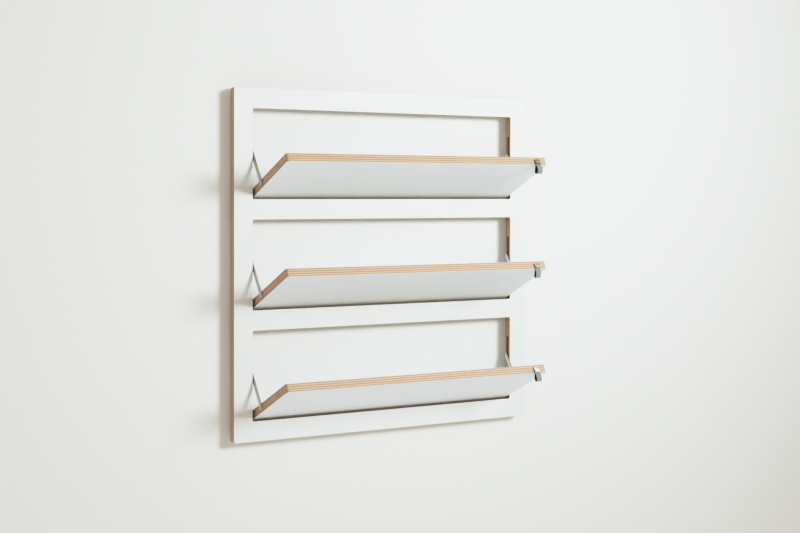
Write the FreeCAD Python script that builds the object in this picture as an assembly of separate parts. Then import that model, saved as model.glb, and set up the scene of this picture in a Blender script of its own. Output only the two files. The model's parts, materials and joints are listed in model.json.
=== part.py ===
import FreeCAD, Part
import math
import os

# A square wall shelf cut from one laminated plywood board. The board is a frame with three openings,
# and each opening holds a flap that folds forward on two hinge pins near its lower edge. A steel stay
# on each side of a flap is screwed to the flap, and its guide pin runs in a slot in the frame's stile.
# The frame hangs on the wall from two interlocking rails.
#
# Millimetres. +Z is up, +X is to the right of a person facing the shelf, and +Y goes into the wall.
# The origin is on the wall plane, in the middle of the wall rail's line of screw holes.
# The shelf is drawn with its flaps open, which is its rest position.

os.makedirs("parts", exist_ok=True)

Vector = FreeCAD.Vector
X_AXIS = Vector(1, 0, 0)
Y_AXIS = Vector(0, 1, 0)
DOWN = Vector(0, 0, -1)
ORIGIN = Vector(0, 0, 0)

# Board: plywood core between two white laminates
BOARD_SIZE = 800.0
BOARD_THICKNESS = 20.0
LAMINATE = 0.8
BOARD_CORNER = 6.0
MEMBER = 46.0
OPENING_CORNER = 3.5
EASED_EDGE = 0.4
STANDOFF = 11.0
SCREW_LINE_BELOW_TOP = 34.0

# Flaps, cut from the same board
LEVELS = ("top", "middle", "bottom")
FLAP_GAP = 5.0
FLAP_CORNER = 5.0
HINGE_HEIGHT = 14.0
OPEN_ANGLE = 65.0

# Hinges: sprung pins in the flap, collared bushes in the stiles
PIN_RADIUS = 3.0
PIN_CLEARANCE = 0.05
PIN_IN_FLAP = 12.0
PIN_IN_STILE = 11.0
BUSH_WALL = 1.5
BUSH_DEPTH = 13.0
COLLAR_RADIUS = 6.5
COLLAR_PLAY = 0.5
SPRING_SPACE = 12.0
SPRING_RADIUS = 2.2
SPRING_WIRE = 0.35
SPRING_TURNS = 6

# Stays
STAY_REACH = 52.0
STAY_LENGTH = 87.5
STAY_WIDTH = 10.0
STAY_THICKNESS = 2.5
BROKEN_EDGE = 0.25
WASHER_RADIUS = 5.0
WASHER_THICKNESS = 0.8
SHOULDER_RADIUS = 2.5
STAY_HEAD_RADIUS = 4.5
STAY_HEAD_THICKNESS = 1.2
STAY_SOCKET_RADIUS = 1.4
STAY_SOCKET_DEPTH = 1.6
STAY_THREAD_RADIUS = 2.0
STAY_THREAD_LENGTH = 10.0
INSERT_RADIUS = 4.0
INSERT_LENGTH = 12.0
GUIDE_RADIUS = 1.6
GUIDE_OFFSET = 1.75
GUIDE_IN_SLOT = 7.0
GUIDE_HEAD_RADIUS = 3.0
GUIDE_HEAD_THICKNESS = 0.5
SLOT_WIDTH = 7.0
SLOT_DEPTH = 8.5

# Catch magnets under the tips of the folded stays
MAGNET_RADIUS = 2.5
MAGNET_DEPTH = 5.0
MAGNET_REACH = 142.5

# Pull loop on the flap's free edge
PULL_FROM_END = 28.5
PULL_WIDTH = 14.0
STRAP = 1.2
PLATE_THICKNESS = 1.0
PLATE_HEIGHT = 13.0
PLATE_CORNER = 1.5
LOOP_LENGTH = 21.0
LOOP_RADIUS = 4.5
LOOP_STAND_OFF = 1.3
PULL_SCREW_RADIUS = 1.5
PULL_SCREW_HEAD_RADIUS = 2.6
PULL_SCREW_HEAD = 0.9
PULL_SCREW_LENGTH = 16.0
CROSS_WIDTH = 0.6
CROSS_REACH = 0.6
CROSS_DEPTH = 0.8

# Wall fixing
RAIL_LENGTH = 640.0
RAIL_THICKNESS = 2.4
RAIL_FOOT = 14.0
RAIL_LIP = 7.0
RAIL_PLAY = 0.6
WALL_HOLE_RADIUS = 2.5
WALL_HOLES_X = (-300.0, -100.0, 100.0, 300.0)
RAIL_SCREWS_X = (-290.0, -97.0, 97.0, 290.0)
WOOD_SCREW_RADIUS = 1.75
WOOD_SCREW_HEAD_RADIUS = 3.4
WOOD_SCREW_HEAD = 1.6
WOOD_SCREW_GRIP = 11.0
SPACER_RADIUS = 10.0
SPACER_TAPER = 1.5
SPACER_RECESS_RADIUS = 4.5
SPACER_WEB = 4.0
SPACER_FROM_CORNER = 23.0

# Worked out from the above
CORE_THICKNESS = BOARD_THICKNESS - 2 * LAMINATE
BACK_Y = -STANDOFF
FRONT_Y = BACK_Y - BOARD_THICKNESS
MIDDLE_Y = (BACK_Y + FRONT_Y) / 2
BOARD_TOP = SCREW_LINE_BELOW_TOP
BOARD_BOTTOM = BOARD_TOP - BOARD_SIZE
HALF_BOARD = BOARD_SIZE / 2
HALF_THICKNESS = BOARD_THICKNESS / 2
OPENING_WIDTH = BOARD_SIZE - 2 * MEMBER
OPENING_HEIGHT = (BOARD_SIZE - (len(LEVELS) + 1) * MEMBER) / len(LEVELS)
HALF_OPENING = OPENING_WIDTH / 2
FLAP_HALF_WIDTH = HALF_OPENING - FLAP_GAP
FLAP_TAIL = HINGE_HEIGHT - FLAP_GAP
FLAP_REACH = OPENING_HEIGHT - HINGE_HEIGHT - FLAP_GAP
BUSH_RADIUS = PIN_RADIUS + PIN_CLEARANCE + BUSH_WALL
PIVOT_OUT = STAY_REACH * math.sin(math.radians(OPEN_ANGLE))
PIVOT_UP = STAY_REACH * math.cos(math.radians(OPEN_ANGLE))
# A stay leans back from upright by these angles, which leave its guide pin just behind the middle of
# the slot at both ends of its travel and as far in front of the middle halfway.
LEAN_OPEN = math.asin((PIVOT_OUT + GUIDE_OFFSET) / STAY_LENGTH)
LEAN_CLOSED = math.asin(GUIDE_OFFSET / STAY_LENGTH)
GUIDE_LOW = PIVOT_UP + STAY_LENGTH * math.cos(LEAN_OPEN)
GUIDE_HIGH = STAY_REACH + STAY_LENGTH * math.cos(LEAN_CLOSED)


def box(x0, x1, y0, y1, z0, z1):
    """Block between the given coordinates."""
    return Part.makeBox(x1 - x0, y1 - y0, z1 - z0, Vector(x0, y0, z0))


def rod(radius, start, end):
    """Solid cylinder from one point to another."""
    along = end - start
    return Part.makeCylinder(radius, along.Length, start, along)


def rod_x(radius, side, first, last, y, z):
    """Cylinder along X on one side, between two distances outward from the middle of the shelf."""
    return rod(radius, Vector(side * first, y, z), Vector(side * last, y, z))


def round_corners(solid, radius):
    """Round the edges of a flat sheet that run through its thickness, along Y."""
    edges = [e for e in solid.Edges if e.BoundBox.XLength < 1e-6 and e.BoundBox.ZLength < 1e-6]
    return solid.makeFillet(radius, edges)


def sheet(half_width, bottom, top, y0, y1, corner):
    """Upright rectangular sheet with rounded corners."""
    return round_corners(box(-half_width, half_width, y0, y1, bottom, top), corner)


def ease_face(solid, y):
    """Chamfer every edge that lies in the plane at this Y."""
    edges = [e for e in solid.Edges if abs(e.BoundBox.YMin - y) < 1e-6 and abs(e.BoundBox.YMax - y) < 1e-6]
    return solid.makeChamfer(EASED_EDGE, edges)


def tangent_loop(apex, down, length, radius):
    """Teardrop face in the YZ plane: straight sides from an apex to a round end."""
    reach = length - radius
    centre = apex + down * reach
    turn = math.degrees(math.acos(radius / reach))
    back = down * -radius
    first = centre + FreeCAD.Rotation(X_AXIS, turn).multVec(back)
    last = centre + FreeCAD.Rotation(X_AXIS, -turn).multVec(back)
    edges = [
        Part.makeLine(apex, first),
        Part.Arc(first, centre + down * radius, last).toShape(),
        Part.makeLine(last, apex),
    ]
    return Part.Face(Part.Wire(edges))


def countersunk(radius, head_radius, head, start, direction, length):
    """Countersunk screw, flush with its start point."""
    cone = Part.makeCone(head_radius, radius, head, start, direction)
    shank = Part.makeCylinder(radius, length, start, direction)
    return cone.fuse(shank).removeSplitter()


def cross_recessed(screw, head_radius, start, direction):
    """Screw with a cross recess in its head, reaching over a fixed share of the head's radius."""
    for arm in (X_AXIS, direction.cross(X_AXIS)):
        along = arm * (head_radius * CROSS_REACH)
        over = direction.cross(arm) * (CROSS_WIDTH / 2)
        corners = [start + along + over, start - along + over, start - along - over, start + along - over]
        blade = Part.Face(Part.makePolygon(corners + corners[:1])).extrude(direction * CROSS_DEPTH)
        screw = screw.cut(blade)
    return screw


def opening_bottom(level):
    """Height of the lower edge of an opening, counted from the top."""
    return BOARD_TOP - (level + 1) * (MEMBER + OPENING_HEIGHT)


def hinge_point(level):
    """Where a flap's hinge axis crosses the middle of the shelf."""
    return Vector(0, MIDDLE_Y, opening_bottom(level) + HINGE_HEIGHT)


def save(name, *solids):
    """Write one node. Identical pieces share a node as separate solids."""
    shape = solids[0] if len(solids) == 1 else Part.makeCompound(list(solids))
    shape.exportStep(f"parts/{name}.step")


# ---------------------------------------------------------------- frame


def frame_sheet(y0, y1):
    """One layer of the frame: the full board less its openings."""
    layer = sheet(HALF_BOARD, BOARD_BOTTOM, BOARD_TOP, y0, y1, BOARD_CORNER)
    for level in range(len(LEVELS)):
        bottom = opening_bottom(level)
        layer = layer.cut(sheet(HALF_OPENING, bottom, bottom + OPENING_HEIGHT, y0, y1, OPENING_CORNER))
    return layer


def guide_slot(side, level):
    """Vertical slot in the inner face of a stile, with round ends."""
    hinge_z = hinge_point(level).z
    low = hinge_z + GUIDE_LOW
    high = hinge_z + GUIDE_HIGH
    radius = SLOT_WIDTH / 2
    outer = HALF_OPENING + SLOT_DEPTH
    near, far = sorted((side * HALF_OPENING, side * outer))
    slot = box(near, far, MIDDLE_Y - radius, MIDDLE_Y + radius, low, high)
    for end in (low, high):
        slot = slot.fuse(rod_x(radius, side, HALF_OPENING, outer, MIDDLE_Y, end))
    return slot


def rail_screw_place(x):
    """Head centre of a screw that holds the hanger rail to the frame."""
    return Vector(x, BACK_Y + RAIL_THICKNESS, HANGER_SCREW_Z)


def spacer_screw_place(side):
    """Head centre of the screw in a lower spacer."""
    x = side * (HALF_BOARD - SPACER_FROM_CORNER)
    return Vector(x, BACK_Y + SPACER_WEB, BOARD_BOTTOM + SPACER_FROM_CORNER)


def frame_core():
    """Plywood core with its hinge bores, guide slots and screw holes."""
    core = frame_sheet(FRONT_Y + LAMINATE, BACK_Y - LAMINATE)
    for level in range(len(LEVELS)):
        hinge_z = hinge_point(level).z
        for side in (-1, 1):
            bore_end = HALF_OPENING + BUSH_DEPTH
            core = core.cut(rod_x(BUSH_RADIUS, side, HALF_OPENING, bore_end, MIDDLE_Y, hinge_z))
            core = core.cut(guide_slot(side, level))
    return core.cut(screw_holes(rail_screw_places() + spacer_screw_places()))


def hinge_bush(side, level):
    """Collared bush: its barrel sits in the stile and its collar centres the flap."""
    z = hinge_point(level).z
    collar_start = FLAP_HALF_WIDTH + COLLAR_PLAY
    end = HALF_OPENING + BUSH_DEPTH
    barrel = rod_x(BUSH_RADIUS, side, HALF_OPENING, end, MIDDLE_Y, z)
    collar = rod_x(COLLAR_RADIUS, side, collar_start, HALF_OPENING, MIDDLE_Y, z)
    bore = rod_x(PIN_RADIUS + PIN_CLEARANCE, side, collar_start, end, MIDDLE_Y, z)
    return barrel.fuse(collar).cut(bore).removeSplitter()


# ---------------------------------------------------------------- wall fixing

# The wall rail's foot is on the wall and its lip points up. The hanger rail is the same profile turned
# over: its foot is on the frame and its lip hooks down behind the wall rail's lip.
WALL_LIP_TOP = RAIL_FOOT / 2 + RAIL_LIP
HANGER_LIP_BOTTOM = RAIL_FOOT / 2 + RAIL_PLAY
HANGER_WEB_TOP = WALL_LIP_TOP + RAIL_THICKNESS
HANGER_TOP = HANGER_WEB_TOP + RAIL_FOOT - RAIL_THICKNESS
HANGER_SCREW_Z = HANGER_WEB_TOP + (RAIL_FOOT - RAIL_THICKNESS) / 2
WALL_LIP_Y = -(STANDOFF + RAIL_PLAY) / 2
HANGER_LIP_Y = WALL_LIP_Y + RAIL_PLAY


def rail(pieces):
    """Rail profile made of blocks, each given as y0, y1, z0, z1."""
    half = RAIL_LENGTH / 2
    blocks = [box(-half, half, *piece) for piece in pieces]
    return blocks[0].multiFuse(blocks[1:]).removeSplitter()


def wall_rail():
    """Rail screwed to the wall."""
    foot = RAIL_FOOT / 2
    lip_front = WALL_LIP_Y - RAIL_THICKNESS
    profile = rail([
        (-RAIL_THICKNESS, 0, -foot, foot),
        (lip_front, 0, foot - RAIL_THICKNESS, foot),
        (lip_front, WALL_LIP_Y, foot - RAIL_THICKNESS, WALL_LIP_TOP),
    ])
    holes = [rod(WALL_HOLE_RADIUS, Vector(x, -RAIL_THICKNESS, 0), Vector(x, 0, 0)) for x in WALL_HOLES_X]
    return profile.cut(Part.makeCompound(holes))


def hanger_rail():
    """Rail screwed to the back of the frame."""
    foot_back = BACK_Y + RAIL_THICKNESS
    lip_back = HANGER_LIP_Y + RAIL_THICKNESS
    profile = rail([
        (BACK_Y, foot_back, WALL_LIP_TOP, HANGER_TOP),
        (BACK_Y, lip_back, WALL_LIP_TOP, HANGER_WEB_TOP),
        (HANGER_LIP_Y, lip_back, HANGER_LIP_BOTTOM, HANGER_WEB_TOP),
    ])
    return profile.cut(screw_holes(rail_screw_places()))


def wood_screw(place):
    """Countersunk screw that goes forward into the back of the frame."""
    length = WOOD_SCREW_GRIP
    return countersunk(WOOD_SCREW_RADIUS, WOOD_SCREW_HEAD_RADIUS, WOOD_SCREW_HEAD, place, -Y_AXIS, length)


def rail_screw_places():
    """Head centres of the screws through the hanger rail."""
    return [rail_screw_place(x) for x in RAIL_SCREWS_X]


def spacer_screw_places():
    """Head centres of the screws through the lower spacers."""
    return [spacer_screw_place(side) for side in (-1, 1)]


def screw_holes(places):
    """Holes that wood screws fill, as one cutting shape."""
    return Part.makeCompound([wood_screw(place) for place in places])


def wood_screws(places):
    """Wood screws with their recesses."""
    return [cross_recessed(wood_screw(place), WOOD_SCREW_HEAD_RADIUS, place, -Y_AXIS) for place in places]


def spacer(side):
    """Tapered rubber spacer that keeps the lower edge as far from the wall as the rails."""
    place = spacer_screw_place(side)
    base = Vector(place.x, BACK_Y, place.z)
    body = Part.makeCone(SPACER_RADIUS, SPACER_RADIUS - SPACER_TAPER, STANDOFF, base, Y_AXIS)
    recess = Part.makeCylinder(SPACER_RECESS_RADIUS, STANDOFF, place, Y_AXIS)
    return body.cut(recess).cut(wood_screw(place))


# ---------------------------------------------------------------- flaps

# Flap pieces are drawn shut and upright, with the hinge axis through the origin and the front face
# towards -Y, and then turned open and moved to their level.
PULL_X = FLAP_HALF_WIDTH - PULL_FROM_END
PLATE_FRONT = -HALF_THICKNESS
PLATE_BACK = PLATE_FRONT + PLATE_HEIGHT
PLATE_FOOT = FLAP_REACH + 2 * STRAP
PLATE_TOP = PLATE_FOOT + PLATE_THICKNESS
PULL_PLACE = Vector(PULL_X, (PLATE_FRONT + PLATE_BACK) / 2, PLATE_TOP)


def open_flap(solid, level):
    """Turn a flap piece to its open position at its level."""
    placed = solid.copy()
    placed.rotate(ORIGIN, X_AXIS, OPEN_ANGLE)
    placed.translate(hinge_point(level))
    return placed


def both_sides(make):
    """The left and the right one of a piece."""
    return [make(-1), make(1)]


def pivot_pin(side):
    """Steel pin that the flap turns on."""
    outer = HALF_OPENING + PIN_IN_STILE
    return rod_x(PIN_RADIUS, side, FLAP_HALF_WIDTH - PIN_IN_FLAP, outer, 0, 0)


def pivot_bore(side):
    """Bore in the flap's side edge for a pivot pin and its spring."""
    depth = PIN_IN_FLAP + SPRING_SPACE
    return rod_x(PIN_RADIUS, side, FLAP_HALF_WIDTH - depth, FLAP_HALF_WIDTH, 0, 0)


def pivot_spring(side):
    """Compression spring behind a pivot pin, which lets the flap be fitted into the frame."""
    room = SPRING_SPACE - 2 * SPRING_WIRE
    helix = Part.makeHelix(room / SPRING_TURNS, room, SPRING_RADIUS)
    wire = Part.Wire(Part.makeCircle(SPRING_WIRE, Vector(SPRING_RADIUS, 0, 0), Y_AXIS))
    spring = Part.Wire(helix).makePipeShell([wire], True, True)
    spring.rotate(ORIGIN, Y_AXIS, 90 * side)
    spring.translate(Vector(side * (FLAP_HALF_WIDTH - PIN_IN_FLAP - SPRING_SPACE + SPRING_WIRE), 0, 0))
    return spring


def stay_insert(side):
    """Threaded insert in the flap's side edge."""
    inner = FLAP_HALF_WIDTH - INSERT_LENGTH
    body = rod_x(INSERT_RADIUS, side, inner, FLAP_HALF_WIDTH, 0, STAY_REACH)
    bore = rod_x(STAY_THREAD_RADIUS, side, inner, FLAP_HALF_WIDTH, 0, STAY_REACH)
    return body.cut(bore)


def hex_socket(centre, depth):
    """Hexagonal recess for a key, from a centre point and a depth along X."""
    angles = [math.radians(60 * corner) for corner in range(7)]
    corners = [
        centre + Vector(0, math.cos(angle), math.sin(angle)) * STAY_SOCKET_RADIUS for angle in angles
    ]
    return Part.Face(Part.makePolygon(corners)).extrude(depth)


def stay_screw(side):
    """Shoulder screw that a stay turns on."""
    face = FLAP_HALF_WIDTH
    head_foot = face + WASHER_THICKNESS + STAY_THICKNESS
    thread = rod_x(STAY_THREAD_RADIUS, side, face - STAY_THREAD_LENGTH, face, 0, STAY_REACH)
    shoulder = rod_x(SHOULDER_RADIUS, side, face, head_foot, 0, STAY_REACH)
    head_end = head_foot + STAY_HEAD_THICKNESS
    head = rod_x(STAY_HEAD_RADIUS, side, head_foot, head_end, 0, STAY_REACH)
    socket = hex_socket(Vector(side * head_end, 0, STAY_REACH), Vector(-side * STAY_SOCKET_DEPTH, 0, 0))
    return thread.fuse(shoulder).fuse(head).removeSplitter().cut(socket)


def stay_washer(side):
    """Washer between a stay and the flap."""
    outer = FLAP_HALF_WIDTH + WASHER_THICKNESS
    disc = rod_x(WASHER_RADIUS, side, FLAP_HALF_WIDTH, outer, 0, STAY_REACH)
    hole = rod_x(SHOULDER_RADIUS + PIN_CLEARANCE, side, FLAP_HALF_WIDTH, outer, 0, STAY_REACH)
    return disc.cut(hole)


def catch_magnet(side):
    """Magnet in the flap's side edge that holds the tip of the folded stay."""
    inner = FLAP_HALF_WIDTH - MAGNET_DEPTH
    return rod_x(MAGNET_RADIUS, side, inner, FLAP_HALF_WIDTH, 0, MAGNET_REACH)


def pull_screw_hole():
    """Room for the pull screw, from the plate's face down into the flap."""
    length = PULL_SCREW_LENGTH
    return countersunk(PULL_SCREW_RADIUS, PULL_SCREW_HEAD_RADIUS, PULL_SCREW_HEAD, PULL_PLACE, DOWN, length)


def pull_screw():
    """Countersunk screw that clamps the pull plate and the strap to the free edge."""
    return cross_recessed(pull_screw_hole(), PULL_SCREW_HEAD_RADIUS, PULL_PLACE, DOWN)


def pull_plate():
    """Small metal plate over the strap's two ends."""
    half = PULL_WIDTH / 2
    plate = box(PULL_X - half, PULL_X + half, PLATE_FRONT, PLATE_BACK, PLATE_FOOT, PLATE_TOP)
    uprights = [e for e in plate.Edges if e.BoundBox.ZLength > PLATE_THICKNESS / 2]
    plate = plate.makeFillet(PLATE_CORNER, uprights)
    rim = [e for e in plate.Edges if e.BoundBox.ZMin > PLATE_TOP - PLATE_THICKNESS / 2]
    return plate.makeChamfer(BROKEN_EDGE, rim).cut(pull_screw_hole())


def pull_strap():
    """Strap folded into a hanging loop, with both ends clamped under the plate."""
    half = PULL_WIDTH / 2
    turned = math.radians(OPEN_ANGLE)
    down = Vector(0, -math.sin(turned), -math.cos(turned))
    apex = Vector(PULL_X - half, PLATE_FRONT - LOOP_STAND_OFF, FLAP_REACH + STRAP)
    outer = tangent_loop(apex, down, LOOP_LENGTH, LOOP_RADIUS)
    inset = STRAP * (LOOP_LENGTH - LOOP_RADIUS) / LOOP_RADIUS
    hollow = tangent_loop(apex + down * inset, down, LOOP_LENGTH - inset - STRAP, LOOP_RADIUS - STRAP)
    band = outer.cut(hollow).extrude(Vector(PULL_WIDTH, 0, 0))
    ends_front = PLATE_FRONT - 2 * LOOP_STAND_OFF
    ends = box(PULL_X - half, PULL_X + half, ends_front, PLATE_BACK, FLAP_REACH, PLATE_FOOT)
    return band.fuse(ends).removeSplitter().cut(pull_screw_hole())


def flap_core():
    """Plywood core of a flap with its bores."""
    thickness = CORE_THICKNESS / 2
    core = sheet(FLAP_HALF_WIDTH, -FLAP_TAIL, FLAP_REACH, -thickness, thickness, FLAP_CORNER)
    insert_end = FLAP_HALF_WIDTH - INSERT_LENGTH
    bores = []
    for side in (-1, 1):
        insert_bore = rod_x(INSERT_RADIUS, side, insert_end, FLAP_HALF_WIDTH, 0, STAY_REACH)
        bores += [pivot_bore(side), insert_bore, catch_magnet(side)]
    return core.cut(Part.makeCompound(bores + [pull_screw_hole()]))


def flap_laminate(front):
    """White laminate on the front or the back of a flap, with its outer edge eased."""
    inner = CORE_THICKNESS / 2
    y0, y1 = (-HALF_THICKNESS, -inner) if front else (inner, HALF_THICKNESS)
    skin = sheet(FLAP_HALF_WIDTH, -FLAP_TAIL, FLAP_REACH, y0, y1, FLAP_CORNER)
    return ease_face(skin, y0 if front else y1)


# ---------------------------------------------------------------- stays

# Stay pieces are drawn upright with the screw hole at the origin, at their place across the shelf, and
# then leaned back from the open flap's pivot.
STAY_FACE = FLAP_HALF_WIDTH + WASHER_THICKNESS


def open_stay(solid, level):
    """Lean a stay piece back to its open position at its level."""
    placed = solid.copy()
    placed.rotate(ORIGIN, X_AXIS, -math.degrees(LEAN_OPEN))
    placed.translate(hinge_point(level) + Vector(0, -PIVOT_OUT, PIVOT_UP))
    return placed


def stay(side):
    """Flat steel bar with round ends, a hole for its screw and one for its guide pin."""
    outer = STAY_FACE + STAY_THICKNESS
    near, far = sorted((side * STAY_FACE, side * outer))
    radius = STAY_WIDTH / 2
    bar = box(near, far, -radius, radius, 0, STAY_LENGTH)
    for end in (0, STAY_LENGTH):
        bar = bar.fuse(rod_x(radius, side, STAY_FACE, outer, 0, end))
    bar = bar.removeSplitter()
    outline = [e for e in bar.Edges if e.BoundBox.XLength < STAY_THICKNESS / 2]
    bar = bar.makeChamfer(BROKEN_EDGE, outline)
    screw_hole = rod_x(SHOULDER_RADIUS + PIN_CLEARANCE, side, STAY_FACE, outer, 0, 0)
    pin_hole = rod_x(GUIDE_RADIUS, side, STAY_FACE, outer, 0, STAY_LENGTH)
    return bar.cut(screw_hole).cut(pin_hole)


def guide_pin(side):
    """Pin riveted to the top of a stay, running in the stile's slot."""
    end = HALF_OPENING + GUIDE_IN_SLOT
    head_start = STAY_FACE - GUIDE_HEAD_THICKNESS
    stem = rod_x(GUIDE_RADIUS, side, STAY_FACE, end, 0, STAY_LENGTH)
    head = rod_x(GUIDE_HEAD_RADIUS, side, head_start, STAY_FACE, 0, STAY_LENGTH)
    return stem.fuse(head).removeSplitter()


# ---------------------------------------------------------------- nodes

save("frame_core", frame_core())
save("frame_front_laminate", ease_face(frame_sheet(FRONT_Y, FRONT_Y + LAMINATE), FRONT_Y))
save("frame_back_laminate", ease_face(frame_sheet(BACK_Y - LAMINATE, BACK_Y), BACK_Y).cut(
    screw_holes(rail_screw_places() + spacer_screw_places())))
save("hinge_bushes", *[hinge_bush(side, level) for level in range(len(LEVELS)) for side in (-1, 1)])
save("wall_rail", wall_rail())
save("hanger_rail", hanger_rail())
save("hanger_rail_screws", *wood_screws(rail_screw_places()))
save("left_spacer", spacer(-1))
save("right_spacer", spacer(1))
save("spacer_screws", *wood_screws(spacer_screw_places()))

FLAP_PIECES = {
    "flap_core": [flap_core()],
    "flap_front_laminate": [flap_laminate(True)],
    "flap_back_laminate": [flap_laminate(False)],
    "pivot_pins": both_sides(pivot_pin),
    "pivot_springs": both_sides(pivot_spring),
    "stay_inserts": both_sides(stay_insert),
    "stay_screws": both_sides(stay_screw),
    "stay_washers": both_sides(stay_washer),
    "catch_magnets": both_sides(catch_magnet),
    "pull_strap": [pull_strap()],
    "pull_plate": [pull_plate()],
    "pull_screw": [pull_screw()],
}
STAY_PIECES = {
    "left_stay": stay(-1),
    "left_guide_pin": guide_pin(-1),
    "right_stay": stay(1),
    "right_guide_pin": guide_pin(1),
}

for index, level_name in enumerate(LEVELS):
    for piece_name, solids in FLAP_PIECES.items():
        save(f"{level_name}_{piece_name}", *[open_flap(solid, index) for solid in solids])
    for piece_name, solid in STAY_PIECES.items():
        save(f"{level_name}_{piece_name}", open_stay(solid, index))
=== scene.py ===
import json
import math

import bpy
from mathutils import Matrix, Vector, noise


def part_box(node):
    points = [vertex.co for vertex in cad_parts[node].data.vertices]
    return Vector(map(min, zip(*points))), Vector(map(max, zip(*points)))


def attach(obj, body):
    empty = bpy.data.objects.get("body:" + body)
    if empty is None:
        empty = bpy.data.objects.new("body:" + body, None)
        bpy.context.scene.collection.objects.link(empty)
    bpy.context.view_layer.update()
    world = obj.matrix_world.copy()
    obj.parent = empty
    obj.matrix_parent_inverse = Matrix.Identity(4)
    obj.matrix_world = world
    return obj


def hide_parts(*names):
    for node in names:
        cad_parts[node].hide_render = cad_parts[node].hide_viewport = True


# The looks of a wall-hung folding shelf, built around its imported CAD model. Metres, in the CAD's own
# frame: +Z is up, +X is to the right of a person facing the shelf, and +Y goes into the wall, whose
# face is the plane Y = 0.

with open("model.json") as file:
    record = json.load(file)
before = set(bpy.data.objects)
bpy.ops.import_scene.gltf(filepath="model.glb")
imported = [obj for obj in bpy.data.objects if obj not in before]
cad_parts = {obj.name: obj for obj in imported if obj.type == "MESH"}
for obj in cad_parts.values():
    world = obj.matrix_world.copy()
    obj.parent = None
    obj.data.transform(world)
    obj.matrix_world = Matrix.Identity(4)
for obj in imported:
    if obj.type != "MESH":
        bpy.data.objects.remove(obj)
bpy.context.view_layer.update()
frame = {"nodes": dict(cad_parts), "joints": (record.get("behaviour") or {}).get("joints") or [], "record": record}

NODES = frame["nodes"]
JOINTS = {joint["name"]: joint for joint in frame["joints"]}
SLOTS = {part["node"]: part["material_slot"] for part in frame["record"]["subparts"]}
LEVELS = ("top", "middle", "bottom")
OPEN_ANGLE = math.radians(JOINTS["top_flap_hinge"]["range_deg"][1])
MILLIMETRE = 0.001

# Board
PLIES = 7
CORE_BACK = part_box("frame_core")[1].y
CORE_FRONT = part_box("frame_core")[0].y
CORE_THICKNESS = CORE_BACK - CORE_FRONT
BOARD_MIDDLE = Vector((0, (CORE_FRONT + CORE_BACK) / 2, 0))
BOARD_CENTRE_Z = (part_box("frame_core")[0].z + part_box("frame_core")[1].z) / 2

# Camera, with the shift of a lens whose axis isn't at the middle of the picture
CAMERA_PLACE = Vector((-1.8391, -3.1660, -0.1947))
CAMERA_YAW = math.radians(34.01)
CAMERA_PITCH = math.radians(-0.960)
CAMERA_ROLL = math.radians(0.175)
CAMERA_LENS = 68.46
CAMERA_SHIFT = (-0.1057, -0.0639)

# Studio: a key light at the upper right, and the light that the room gives from each side
KEY_FROM_AIM = Vector((2.0, -3.0, 0.98))
KEY_AIM_ABOVE_CENTRE = 0.22
KEY_SIZE = (1.15, 1.0)
KEY_SPREAD = math.radians(66)
KEY_POWER = 18.7
KEY_COLOUR = (0.86, 1.0, 1.08)
ROOM_FRONT = (0.66, 0.55, 0.36, 1)
ROOM_LEFT = (0.40, 0.35, 0.28, 1)
ROOM_RIGHT = (0.35, 0.32, 0.28, 1)
ROOM_ABOVE = (0.30, 0.30, 0.30, 1)
ROOM_BELOW = (1.05, 1.20, 1.32, 1)
ROOM_BEHIND = (1.10, 1.12, 1.15, 1)
ROOM_BLEND = (0.35, 0.85)
BACKDROP = (0.84, 0.84, 0.83, 1)

# Film: highlights roll off towards this limit
HIGHLIGHT_LIMIT = 0.95
HIGHLIGHT_KNEE = 4
BRIGHTEST = 2.0
CURVE_POINTS = 16
ALL_CHANNELS = 3

# Stage: a wall, and a floor below it
FLOOR_DEPTH = 1.9
FLOOR_GLOW = 0.40
STAGE_SIZE = 12.0


def flap_place(level):
    """Turns a point of a shut, upright flap, given from its hinge, to its open place."""
    hinge = Vector(JOINTS[f"{level}_flap_hinge"]["pos_m"])
    return Matrix.Translation(hinge) @ Matrix.Rotation(OPEN_ANGLE, 4, "X")


def flap_box(node, level):
    """Lowest and highest corner of a CAD node in its shut flap's own frame."""
    to_flap = flap_place(level).inverted()
    points = [to_flap @ vertex.co for vertex in NODES[node].data.vertices]
    return Vector(map(min, *points)), Vector(map(max, *points))


def stay_lean():
    """Angle that an open stay leans back from upright."""
    pivot = Vector(JOINTS["top_left_stay_pivot"]["pos_m"])
    low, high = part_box("top_left_guide_pin")
    along = (low + high) / 2 - pivot
    return math.atan2(along.y, along.z)


# ---------------------------------------------------------------- material tools


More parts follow.
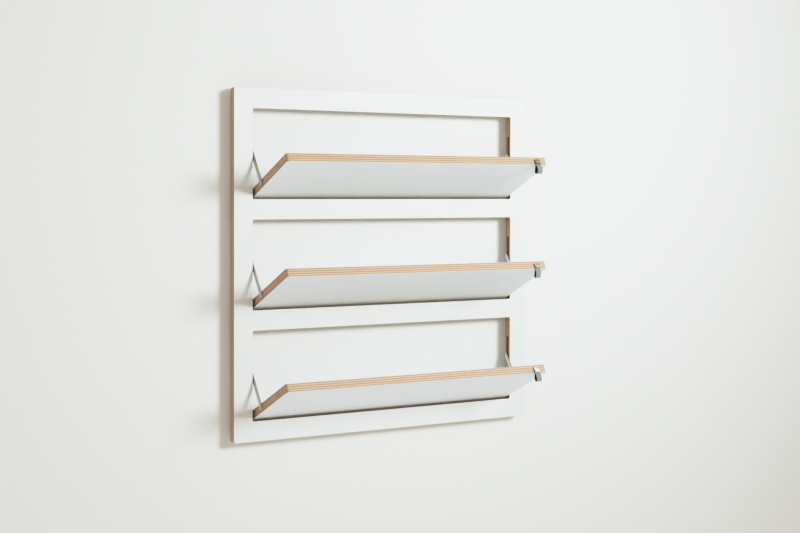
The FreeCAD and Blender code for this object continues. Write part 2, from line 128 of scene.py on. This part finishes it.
class Shader:
    """The node tree of one material, or of the world, made by short calls."""

    def __init__(self, owner):
        self.owner = owner
        owner.use_nodes = True
        self.tree = owner.node_tree
        self.tree.nodes.clear()

    def add(self, kind, inputs=(), **settings):
        """Add a node, set its properties, and feed its inputs from values or from other outputs."""
        node = self.tree.nodes.new("ShaderNode" + kind)
        for name, value in settings.items():
            setattr(node, name, value)
        for name, value in dict(inputs).items():
            if isinstance(value, bpy.types.NodeSocket):
                self.tree.links.new(value, node.inputs[name])
            else:
                node.inputs[name].default_value = value
        return node

    def math(self, operation, *values):
        """Arithmetic on numbers or outputs."""
        return self.add("Math", enumerate(values), operation=operation).outputs[0]

    def vector(self, operation, first, second):
        """Arithmetic on vectors."""
        return self.add("VectorMath", {0: first, 1: second}, operation=operation).outputs[0]

    def turned(self, vector, angle):
        """Vector turned about the X axis."""
        inputs = {"Vector": vector, "Angle": angle}
        return self.add("VectorRotate", inputs, rotation_type="X_AXIS").outputs[0]

    def split(self, vector):
        """The three parts of a vector."""
        return self.add("SeparateXYZ", {0: vector}).outputs

    def joined(self, x, y, z):
        """Vector from three parts."""
        return self.add("CombineXYZ", {0: x, 1: y, 2: z}).outputs[0]

    def noise(self, point, scale, detail=2.0, roughness=0.5):
        """Soft noise between 0 and 1."""
        inputs = {"Vector": point, "Scale": scale, "Detail": detail, "Roughness": roughness}
        return self.add("TexNoise", inputs).outputs["Fac"]

    def ramp(self, value, start, end, low=0.0, high=1.0):
        """Value eased from low at start to high at end."""
        inputs = {0: value, 1: start, 2: end, 3: low, 4: high}
        return self.add("MapRange", inputs, interpolation_type="SMOOTHSTEP").outputs[0]

    def number(self, factor, first, second):
        """Blend of two numbers."""
        return self.add("Mix", {0: factor, 2: first, 3: second}, data_type="FLOAT").outputs[0]

    def colour(self, factor, first, second):
        """Blend of two colours."""
        return self.add("Mix", {0: factor, 6: first, 7: second}, data_type="RGBA").outputs[2]

    def tinted(self, colour, tint):
        """Colour multiplied by another."""
        inputs = {0: 1.0, 6: colour, 7: tint}
        return self.add("Mix", inputs, data_type="RGBA", blend_type="MULTIPLY").outputs[2]

    def scaled(self, colour, factor):
        """Colour made lighter or darker."""
        return self.tinted(colour, self.joined(factor, factor, factor))

    def soft_edges(self, radius):
        """Normal that rounds sharp edges off."""
        return self.add("Bevel", {"Radius": radius}, samples=4).outputs[0]

    def bump(self, height, depth, normal):
        """Normal with a height pattern pressed into it."""
        inputs = {"Height": height, "Distance": depth, "Strength": 1.0, "Normal": normal}
        return self.add("Bump", inputs).outputs[0]

    def finish(self, inputs):
        """Close the tree with a principled surface."""
        surface = self.add("BsdfPrincipled", inputs)
        self.add("OutputMaterial", {"Surface": surface.outputs[0]})
        return self.owner


def new_shader(name):
    """Shader of a new material."""
    return Shader(bpy.data.materials.new(name))


def place_in_board(shader, origin, turn):
    """Coordinates and normal in a flat board's own frame, with its thickness along Y."""
    texture = shader.add("TexCoord")
    moved = shader.vector("SUBTRACT", texture.outputs["Object"], origin)
    return shader.turned(moved, -turn), shader.turned(texture.outputs["Normal"], -turn)


# ---------------------------------------------------------------- materials

# Plywood. Each ply shows its wood along the grain or end on, and both are darker on the cut sides, as painted
# shade.
LONG_GRAIN = (0.78, 0.535, 0.375, 1)
END_GRAIN = (0.53, 0.315, 0.195, 1)
SHADED_SIDE_LONG_GRAIN = (0.56, 0.34, 0.19, 1)
SHADED_SIDE_END_GRAIN = (0.38, 0.20, 0.10, 1)
GLUE = (0.20, 0.105, 0.05, 1)
PATCH = (0.45, 0.36, 0.20, 1)
# Painted shade in slots, gaps and corners: its dark tint and how far it reaches.
PAINTED_SHADE_TINT = (0.20, 0.12, 0.07, 1)
UNTINTED = (1, 1, 1, 1)
PAINTED_SHADE_REACH = 14 * MILLIMETRE
GLUE_WANDER = 0.5 * MILLIMETRE
GLUE_WANDER_SCALE = 25.0
GLUE_SHARE = (0.09, 0.02)
GLUE_BREAK_SCALE = 260.0
PLY_SEED = 7.3
STREAK_SCALE = (70.0, 3500.0)
PORE_SCALE = (1400.0, 2200.0)
BROAD_SCALE = 22.0
PATCH_SCALE = 30.0
PATCH_SEED = (5.7, 4.0)
PATCH_RARITY = (0.70, 0.76)
PATCH_STRENGTH = 0.6
# Distances from the board's middle between which a cut side's tone falls, and the two tones.
PALE_MIDDLE = (0.20 * CORE_THICKNESS, 0.48 * CORE_THICKNESS, 1.16, 0.80)
WOOD_ROUGHNESS = (0.38, 0.55)
GRAIN_DEPTH = 0.05 * MILLIMETRE


def ply_at(shader, x, y, z):
    """Number of the ply that a point is in, and how far through that ply. The glue lines wander a little."""
    wander = shader.noise(shader.joined(x, 0.0, z), GLUE_WANDER_SCALE)
    level = shader.math("MULTIPLY_ADD", shader.math("SUBTRACT", wander, 0.5), GLUE_WANDER, y)
    depth = shader.math("MULTIPLY_ADD", level, PLIES / CORE_THICKNESS, PLIES / 2)
    return shader.math("FLOOR", depth), shader.math("FRACT", depth)


def stretched(shader, along, across, scale, seed):
    """Point for a noise that is stretched by one scale along an edge and by another across it."""
    near = shader.math("MULTIPLY", along, scale[0])
    far = shader.math("MULTIPLY", across, scale[1])
    return shader.joined(near, far, seed)


def glue_line(shader, within, along, ply, y):
    """How near a point is to a glue line, and how strongly the line shows there."""
    to_glue = shader.math("MINIMUM", within, shader.math("SUBTRACT", 1.0, within))
    near = shader.ramp(to_glue, *GLUE_SHARE)
    breaks = shader.noise(shader.joined(along, ply, y), GLUE_BREAK_SCALE)
    return near, shader.math("MULTIPLY", near, shader.ramp(breaks, 0.35, 0.6, 0.25, 0.75))


def plywood(name, origin, turn):
    """Lacquered plywood edges. The plies alternate in grain direction across the board's thickness."""
    shader = new_shader(name)
    point, normal = place_in_board(shader, origin, turn)
    x, y, z = shader.split(point)
    facing_side = shader.math("ABSOLUTE", shader.split(normal)[0])
    on_side = shader.ramp(facing_side, 0.6, 0.8)
    along = shader.number(on_side, x, z)
    ply, within = ply_at(shader, x, y, z)
    crossed = shader.math("MODULO", ply, 2.0)
    mismatch = shader.math("ABSOLUTE", shader.math("SUBTRACT", crossed, on_side))
    end_grain = shader.math("SUBTRACT", 1.0, mismatch)

    # Streaks where the grain runs along the edge, pores where it runs into it.
    seed = shader.math("MULTIPLY", ply, PLY_SEED)
    streaks = shader.noise(stretched(shader, along, y, STREAK_SCALE, seed), 1.0, detail=4.0, roughness=0.6)
    pores = shader.noise(stretched(shader, along, y, PORE_SCALE, seed), 1.0, detail=3.0, roughness=0.7)
    fine = shader.number(end_grain, streaks, pores)
    broad_point = shader.joined(shader.math("MULTIPLY", along, BROAD_SCALE), seed, 0.0)
    broad = shader.noise(broad_point, 1.0, detail=3.0, roughness=0.6)

    # The cut sides take darker, redder tones: painted shade.
    pale = shader.colour(on_side, LONG_GRAIN, SHADED_SIDE_LONG_GRAIN)
    dark = shader.colour(on_side, END_GRAIN, SHADED_SIDE_END_GRAIN)
    colour = shader.colour(end_grain, pale, dark)
    colour = shader.scaled(colour, shader.number(fine, 0.84, 1.16))
    colour = shader.scaled(colour, shader.number(broad, 0.80, 1.20))

    # Now and then a greener patch in one ply.
    patch_point = stretched(shader, along, ply, (PATCH_SCALE, PATCH_SEED[0]), PATCH_SEED[1])
    patch = shader.ramp(shader.noise(patch_point, 1.0), *PATCH_RARITY)
    colour = shader.colour(shader.math("MULTIPLY", patch, PATCH_STRENGTH), colour, PATCH)
    glue, glue_shown = glue_line(shader, within, along, ply, y)
    colour = shader.colour(glue_shown, colour, GLUE)

    # Cut sides are lightest along the middle of the board and darker towards its faces.
    outer = shader.ramp(shader.math("ABSOLUTE", y), *PALE_MIDDLE)
    colour = shader.scaled(colour, shader.number(on_side, 1.0, outer))

    # Painted shade: the colour darkens and reddens in slots, gaps and corners, where little light reaches.
    openness = shader.add("AmbientOcclusion", {"Distance": PAINTED_SHADE_REACH}, samples=4).outputs["AO"]
    tint = shader.colour(shader.ramp(openness, 0.08, 0.65), PAINTED_SHADE_TINT, UNTINTED)

    height = shader.math("MULTIPLY_ADD", glue, -0.4, fine)
    return shader.finish({
        "Base Color": shader.tinted(colour, tint),
        "Roughness": shader.number(fine, *WOOD_ROUGHNESS),
        "Specular IOR Level": 0.35,
        "Normal": shader.bump(height, GRAIN_DEPTH, shader.soft_edges(0.4 * MILLIMETRE)),
    })


def white_laminate():
    """Satin white laminate with a fine pebble and faint handling marks."""
    shader = new_shader("white_laminate_satin")
    point = shader.add("TexCoord").outputs["Object"]
    cloud = shader.noise(point, 6.0, detail=3.0)
    smudge = shader.noise(point, 45.0, detail=4.0, roughness=0.65)
    pebble = shader.noise(point, 1900.0)
    return shader.finish({
        "Base Color": shader.colour(cloud, (0.832, 0.840, 0.840, 1), (0.858, 0.862, 0.850, 1)),
        "Roughness": shader.ramp(smudge, 0.3, 0.7, 0.33, 0.43),
        "Specular IOR Level": 0.45,
        "Normal": shader.bump(pebble, 0.012 * MILLIMETRE, shader.soft_edges(0.3 * MILLIMETRE)),
    })


def brushed_steel(name, turn, tone, roughness):
    """Steel brushed along the length of a bar that leans by an angle about X."""
    shader = new_shader(name)
    point = shader.turned(shader.add("TexCoord").outputs["Object"], turn)
    along_bar = shader.vector("MULTIPLY", point, (2500.0, 3500.0, 40.0))
    fine = shader.noise(along_bar, 1.0, detail=3.0, roughness=0.6)
    broad = shader.noise(point, 90.0, detail=3.0)
    colour = shader.scaled(tone, shader.number(fine, 0.82, 1.12))
    return shader.finish({
        "Base Color": shader.scaled(colour, shader.number(broad, 0.92, 1.06)),
        "Metallic": 1.0,
        "Roughness": shader.ramp(fine, 0.3, 0.7, roughness, roughness + 0.12),
        "Anisotropic": 0.4,
        "Normal": shader.bump(fine, 0.008 * MILLIMETRE, shader.soft_edges(0.3 * MILLIMETRE)),
    })


def plated(name, tone, roughness, mottle):
    """Plated or turned metal with a faint mottle and small pits."""
    shader = new_shader(name)
    point = shader.add("TexCoord").outputs["Object"]
    cloud = shader.noise(point, 320.0, detail=3.0)
    pits = shader.noise(point, 2800.0)
    return shader.finish({
        "Base Color": shader.scaled(tone, shader.number(cloud, 1.0 - mottle, 1.0 + mottle)),
        "Metallic": 1.0,
        "Roughness": shader.ramp(cloud, 0.3, 0.7, roughness, roughness + 0.15),
        "Normal": shader.bump(pits, 0.01 * MILLIMETRE, shader.soft_edges(0.15 * MILLIMETRE)),
    })


def extruded_aluminium():
    """Mill-finish extrusion with die lines along its length."""
    shader = new_shader("rail_aluminium_extruded")
    point = shader.add("TexCoord").outputs["Object"]
    along_rail = shader.vector("MULTIPLY", point, (6.0, 2600.0, 2600.0))
    lines = shader.noise(along_rail, 1.0, detail=3.0, roughness=0.6)
    cloud = shader.noise(point, 35.0, detail=3.0)
    colour = shader.scaled((0.72, 0.73, 0.74, 1), shader.number(lines, 0.86, 1.08))
    return shader.finish({
        "Base Color": shader.scaled(colour, shader.number(cloud, 0.93, 1.05)),
        "Metallic": 1.0,
        "Roughness": shader.ramp(lines, 0.3, 0.7, 0.30, 0.46),
        "Normal": shader.bump(lines, 0.01 * MILLIMETRE, shader.soft_edges(0.25 * MILLIMETRE)),
    })


def moulded(name, tone, roughness):
    """Moulded rubber or plastic with a fine spark-eroded grain."""
    shader = new_shader(name)
    point = shader.add("TexCoord").outputs["Object"]
    cloud = shader.noise(point, 150.0, detail=3.0)
    grain = shader.noise(point, 2200.0)
    return shader.finish({
        "Base Color": shader.scaled(tone, shader.number(cloud, 0.85, 1.15)),
        "Roughness": shader.ramp(cloud, 0.3, 0.7, roughness, roughness + 0.12),
        "Specular IOR Level": 0.35,
        "Normal": shader.bump(grain, 0.02 * MILLIMETRE, shader.soft_edges(0.25 * MILLIMETRE)),
    })


def felt(name, dark, light, fleck):
    """Pressed wool felt: matted fibres with a few paler ones, and a soft sheen."""
    shader = new_shader(name)
    point = shader.add("TexCoord").outputs["Object"]
    bend = shader.add("TexNoise", {"Vector": point, "Scale": 300.0}).outputs["Color"]
    bent = shader.vector("ADD", point, bend)
    along_fibres = shader.vector("MULTIPLY", bent, (2600.0, 900.0, 900.0))
    fibres = shader.noise(along_fibres, 1.0, detail=4.0, roughness=0.7)
    matting = shader.noise(point, 650.0, detail=4.0, roughness=0.6)
    pale = shader.math("MULTIPLY", shader.ramp(fibres, 0.60, 0.72), 0.5)
    pile = shader.math("ADD", fibres, matting)
    return shader.finish({
        "Base Color": shader.colour(pale, shader.colour(matting, dark, light), fleck),
        "Roughness": 0.92,
        "Specular IOR Level": 0.2,
        "Sheen Weight": 0.4,
        "Sheen Roughness": 0.5,
        "Normal": shader.bump(pile, 0.12 * MILLIMETRE, shader.soft_edges(0.2 * MILLIMETRE)),
    })


STAY_TONE = (0.68, 0.665, 0.63, 1)
PLATE_TONE = (0.26, 0.245, 0.20, 1)
ZINC_TONE = (0.64, 0.65, 0.66, 1)
SPRING_TONE = (0.45, 0.45, 0.46, 1)
BRASS_TONE = (0.75, 0.58, 0.29, 1)
MAGNET_TONE = (0.15, 0.13, 0.11, 1)
RUBBER_TONE = (0.055, 0.055, 0.057, 1)
ACETAL_TONE = (0.10, 0.09, 0.085, 1)
GREY_FELT = (0.20, 0.20, 0.195, 1), (0.40, 0.395, 0.385, 1), (0.62, 0.61, 0.59, 1)
BLACK_FELT = (0.012, 0.012, 0.013, 1), (0.035, 0.035, 0.036, 1), (0.09, 0.09, 0.09, 1)

MATERIALS = {
    "white_laminate": white_laminate(),
    "stay_steel": brushed_steel("stay_steel_brushed", stay_lean(), STAY_TONE, 0.18),
    "screw_steel": plated("screw_steel_zinc", ZINC_TONE, 0.25, 0.08),
    "spring_steel": plated("spring_steel_drawn", SPRING_TONE, 0.30, 0.06),
    "insert_brass": plated("insert_brass_turned", BRASS_TONE, 0.28, 0.08),
    "magnet_nickel": plated("magnet_nickel_dull", MAGNET_TONE, 0.45, 0.10),
    "rail_aluminium": extruded_aluminium(),
    "spacer_rubber": moulded("spacer_rubber_matt", RUBBER_TONE, 0.62),
    "bush_plastic": moulded("bush_plastic_acetal", ACETAL_TONE, 0.38),
    "strap_felt": felt("strap_felt_grey", *GREY_FELT),
}
# Black felt on the loops' inner faces: partly a darker inner layer, partly painted shade inside the loops.
INNER_FELT_AND_SHADE = felt("strap_felt_black", *BLACK_FELT)
PLATE_STEEL = brushed_steel("plate_steel_brushed", -OPEN_ANGLE, PLATE_TONE, 0.30)
PLYWOOD = {"frame": plywood("plywood_frame", BOARD_MIDDLE, 0.0)}
for level_name in LEVELS:
    hinge_place = Vector(JOINTS[f"{level_name}_flap_hinge"]["pos_m"])
    PLYWOOD[level_name] = plywood(f"plywood_{level_name}_flap", hinge_place, OPEN_ANGLE)


def finish_nodes():
    """Give every CAD node its material."""
    for node, thing in NODES.items():
        slot = SLOTS[node]
        level = node.split("_")[0]
        if slot == "plywood":
            material = PLYWOOD[level]
        elif node.endswith("pull_plate"):
            material = PLATE_STEEL
        else:
            material = MATERIALS[slot]
        thing.data.materials.clear()
        thing.data.materials.append(material)


# ---------------------------------------------------------------- pull loops

# How each loop hangs: length, half its depth at the widest, how far it leans forward for its length,
# and how far its middle bows forward, as a share of its half depth.
LOOP_HANG = {
    "top": (0.0215, 0.0084, 0.08, 0.30),
    "middle": (0.0215, 0.0048, -0.04, 0.10),
    "bottom": (0.0200, 0.0060, 0.25, 0.10),
}
LOOP_STEPS = 72
TAB_STEPS = 10
CORNER_STEPS = 4
WIDTH_STEPS = 10
ROUNDED_SHARE = 0.6
# The felt's fuzz, seeded so that it is the same on every run
FUZZ = 0.10 * MILLIMETRE
FUZZ_SCALE = 900.0
FUZZ_SEED = 1
# Half of the strap's thickness as a share of its layer, so that two layers under a plate stay apart.
STRAP_HALF_SHARE = 0.48


def loop_path(level, plate_low, plate_high, edge_z):
    """Middle line of the strap in the YZ plane: in under the plate, round the loop, and back."""
    length, half_depth, lean, bow = LOOP_HANG[level]
    thickness = (plate_low.z - edge_z) / 2
    to_frame = flap_place(level)

    def clamped(y, layer):
        return to_frame @ Vector((0, y, edge_z + (layer + 0.5) * thickness))

    front = plate_low.y - 0.5 * thickness
    path = [clamped(plate_high.y + (front - plate_high.y) * i / TAB_STEPS, 1) for i in range(TAB_STEPS)]
    start, end = clamped(front, 1), clamped(front, 0)
    for step in range(LOOP_STEPS + 1):
        share = step / LOOP_STEPS
        turn = math.tau * share
        fall = (1 - math.cos(turn)) / 2
        swell = half_depth * math.sin(turn) * math.sin(turn / 2)
        forward = swell + lean * length * fall + bow * half_depth * math.sin(turn) ** 2
        path.append(start.lerp(end, share) + Vector((0, -forward, -length * fall)))
    path += [clamped(front + (plate_high.y - front) * (i + 1) / TAB_STEPS, 0) for i in range(TAB_STEPS)]
    return path, thickness


def strap_section(half_width, half_thickness):
    """Outline of the strap's cross-section as (across, out) pairs, with rounded corners."""
    radius = half_thickness * ROUNDED_SHARE
    outline = []
    for quarter, (side, face) in enumerate(((1, 1), (-1, 1), (-1, -1), (1, -1))):
        centre = (side * (half_width - radius), face * (half_thickness - radius))
        for step in range(CORNER_STEPS + 1):
            angle = math.pi / 2 * (quarter + step / CORNER_STEPS)
            outline.append((centre[0] + radius * math.cos(angle), centre[1] + radius * math.sin(angle)))
        if quarter % 2 == 0:
            reach = 2 * (half_width - radius)
            last = outline[-1]
            for step in range(1, WIDTH_STEPS):
                outline.append((last[0] - side * reach * step / WIDTH_STEPS, last[1]))
    return outline


def loop_vertices(path, section, middle_x):
    """Section swept along the path, with the felt's fuzz."""
    vertices = []
    for index, place in enumerate(path):
        ahead = path[min(index + 1, len(path) - 1)] - path[max(index - 1, 0)]
        out = Vector((0, -ahead.z, ahead.y)).normalized()
        for across, offset in section:
            point = Vector((middle_x + across, place.y, place.z)) + out * offset
            vertices.append(point + noise.noise_vector(point * FUZZ_SCALE) * FUZZ)
    return vertices


def loop_faces(rings, ring):
    """Faces between neighbouring rings of vertices, then one over each end, all facing out."""
    faces = []
    for base in range(0, (rings - 1) * ring, ring):
        for corner in range(ring):
            following = (corner + 1) % ring
            faces.append((base + corner, base + ring + corner, base + ring + following, base + following))
    last = (rings - 1) * ring
    return faces + [tuple(range(ring)), tuple(reversed(range(last, last + ring)))]


def pull_loop(level):
    """Felt pull loop of one flap, black on its inner faces: partly a darker inner layer of felt, partly painted
    shade inside the loop.
    """
    low, high = flap_box(f"{level}_pull_plate", level)
    edge_z = flap_box(f"{level}_flap_core", level)[1].z
    path, thickness = loop_path(level, low, high, edge_z)
    section = strap_section((high.x - low.x) / 2, thickness * STRAP_HALF_SHARE)
    ring = len(section)
    mesh = bpy.data.meshes.new(f"{level}_pull_loop")
    vertices = loop_vertices(path, section, (low.x + high.x) / 2)
    mesh.from_pydata(vertices, [], loop_faces(len(path), ring))
    mesh.shade_smooth()
    mesh.materials.append(MATERIALS["strap_felt"])
    mesh.materials.append(INNER_FELT_AND_SHADE)
    for polygon in mesh.polygons:
        corner = polygon.index % ring
        inner = section[corner][1] > 0 and section[(corner + 1) % ring][1] > 0
        polygon.material_index = int(inner and polygon.index < ring * (len(path) - 1))
    loop = bpy.data.objects.new(f"{level}_pull_loop", mesh)
    bpy.context.scene.collection.objects.link(loop)
    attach(loop, f"{level}_flap")
    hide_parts(f"{level}_pull_strap")


# ---------------------------------------------------------------- studio


def wall_paint():
    """Pale rolled paint. The wall isn't drawn for a camera that stands behind it."""
    shader = new_shader("stage_wall_paint")
    point = shader.add("TexCoord").outputs["Object"]
    roller = shader.noise(point, 700.0, detail=3.0)
    cloud = shader.noise(point, 1.2, detail=2.0)
    surface = shader.add("BsdfPrincipled", {
        "Base Color": shader.colour(cloud, (0.89, 0.89, 0.885, 1), (0.91, 0.91, 0.905, 1)),
        "Roughness": 0.85,
        "Specular IOR Level": 0.2,
        "Normal": shader.add("Bump", {"Height": roller, "Distance": 0.03 * MILLIMETRE}).outputs[0],
    })
    settings = {"vector_type": "POINT", "convert_from": "CAMERA", "convert_to": "WORLD"}
    camera_place = shader.add("VectorTransform", {0: (0, 0, 0)}, **settings).outputs[0]
    behind = shader.math("GREATER_THAN", shader.split(camera_place)[1], 0.0)
    clear = shader.add("BsdfTransparent")
    mixed = shader.add("MixShader", {0: behind, 1: surface.outputs[0], 2: clear.outputs[0]})
    shader.add("OutputMaterial", {"Surface": mixed.outputs[0]})
    return shader.owner


def floor_paint():
    """Plain pale floor. It glows a little, because hardly any of the key light reaches it."""
    shader = new_shader("stage_floor_paint")
    cloud = shader.noise(shader.add("TexCoord").outputs["Object"], 3.0, detail=3.0)
    paint = shader.colour(cloud, (0.80, 0.80, 0.79, 1), (0.84, 0.84, 0.83, 1))
    return shader.finish({
        "Base Color": paint,
        "Roughness": 0.7,
        "Emission Color": paint,
        "Emission Strength": FLOOR_GLOW,
    })


def stage_sheet(name, corners, material):
    """One big flat sheet of the stage."""
    mesh = bpy.data.meshes.new(name)
    mesh.from_pydata(corners, [], [(0, 1, 2, 3)])
    mesh.materials.append(material)
    thing = bpy.data.objects.new(name, mesh)
    bpy.context.scene.collection.objects.link(thing)
    return thing


def build_stage():
    """Wall behind the shelf and a floor below it."""
    half = STAGE_SIZE / 2
    low, high = -FLOOR_DEPTH, STAGE_SIZE - FLOOR_DEPTH
    wall = [(-half, 0, low), (half, 0, low), (half, 0, high), (-half, 0, high)]
    floor = [(-half, -half, low), (half, -half, low), (half, half, low), (-half, half, low)]
    stage_sheet("stage_wall", wall, wall_paint())
    ground = stage_sheet("stage_floor", floor, floor_paint())
    ground.visible_diffuse = False
    ground.visible_shadow = False


def build_key():
    """A large soft box at the upper right."""
    lamp = bpy.data.lights.new("key", "AREA")
    lamp.shape = "RECTANGLE"
    lamp.size, lamp.size_y = KEY_SIZE
    lamp.spread = KEY_SPREAD
    lamp.energy = KEY_POWER
    lamp.color = KEY_COLOUR
    key = bpy.data.objects.new("key", lamp)
    key.location = Vector((0, CORE_FRONT, BOARD_CENTRE_Z + KEY_AIM_ABOVE_CENTRE)) + KEY_FROM_AIM
    key.rotation_euler = KEY_FROM_AIM.to_track_quat("Z", "Y").to_euler()
    bpy.context.scene.collection.objects.link(key)


def build_room():
    """Light from the room: one colour from the front, blended to others towards the sides.

    The light from behind only shows to a camera behind the wall, which isn't drawn for it.
    """
    room = Shader(bpy.data.worlds.new("room"))
    bpy.context.scene.world = room.owner
    direction = room.add("TexCoord").outputs["Generated"]
    sides = (
        ((-1, 0, 0), ROOM_LEFT),
        ((1, 0, 0), ROOM_RIGHT),
        ((0, 0, 1), ROOM_ABOVE),
        ((0, 0, -1), ROOM_BELOW),
        ((0, 1, 0), ROOM_BEHIND),
    )
    colour = room.colour(0.0, ROOM_FRONT, ROOM_FRONT)
    for side, side_colour in sides:
        towards = room.add("VectorMath", {0: direction, 1: side}, operation="DOT_PRODUCT").outputs["Value"]
        colour = room.colour(room.ramp(towards, *ROOM_BLEND), colour, side_colour)
    seen = room.add("LightPath").outputs["Is Camera Ray"]
    background = room.add("Background", {0: room.colour(seen, colour, BACKDROP)})
    room.add("OutputWorld", {0: background.outputs[0]})


def build_camera():
    """Camera at the left, looking past the middle of the shelf at its own height."""
    ahead = Vector((
        math.sin(CAMERA_YAW) * math.cos(CAMERA_PITCH),
        math.cos(CAMERA_YAW) * math.cos(CAMERA_PITCH),
        math.sin(CAMERA_PITCH),
    ))
    level_right = Vector((math.cos(CAMERA_YAW), -math.sin(CAMERA_YAW), 0))
    level_up = level_right.cross(ahead)
    right = level_right * math.cos(CAMERA_ROLL) + level_up * math.sin(CAMERA_ROLL)
    up = level_up * math.cos(CAMERA_ROLL) - level_right * math.sin(CAMERA_ROLL)
    turn = Matrix((right, up, -ahead)).transposed()
    lens = bpy.data.cameras.new("camera")
    lens.lens = CAMERA_LENS
    lens.shift_x, lens.shift_y = CAMERA_SHIFT
    camera = bpy.data.objects.new("camera", lens)
    camera.matrix_world = Matrix.Translation(CAMERA_PLACE) @ turn.to_4x4()
    bpy.context.scene.collection.objects.link(camera)
    bpy.context.scene.camera = camera


def film_response(light):
    """How bright a light level is shown: as it is, with a smooth roll-off towards the limit."""
    return light / (1 + (light / HIGHLIGHT_LIMIT) ** HIGHLIGHT_KNEE) ** (1 / HIGHLIGHT_KNEE)


def set_film():
    """Show the light as it is, apart from a soft roll-off in the brightest parts."""
    view = bpy.context.scene.view_settings
    view.view_transform = "Standard"
    view.use_curve_mapping = True
    view.curve_mapping.white_level = (BRIGHTEST, BRIGHTEST, BRIGHTEST)
    curve = view.curve_mapping.curves[ALL_CHANNELS]
    curve.points[-1].location = (1, film_response(BRIGHTEST))
    for step in range(1, CURVE_POINTS):
        share = step / CURVE_POINTS
        curve.points.new(share, film_response(share * BRIGHTEST))
    view.curve_mapping.update()


finish_nodes()
noise.seed_set(FUZZ_SEED)
for level_name in LEVELS:
    pull_loop(level_name)
build_stage()
build_key()
build_room()
build_camera()
set_film()
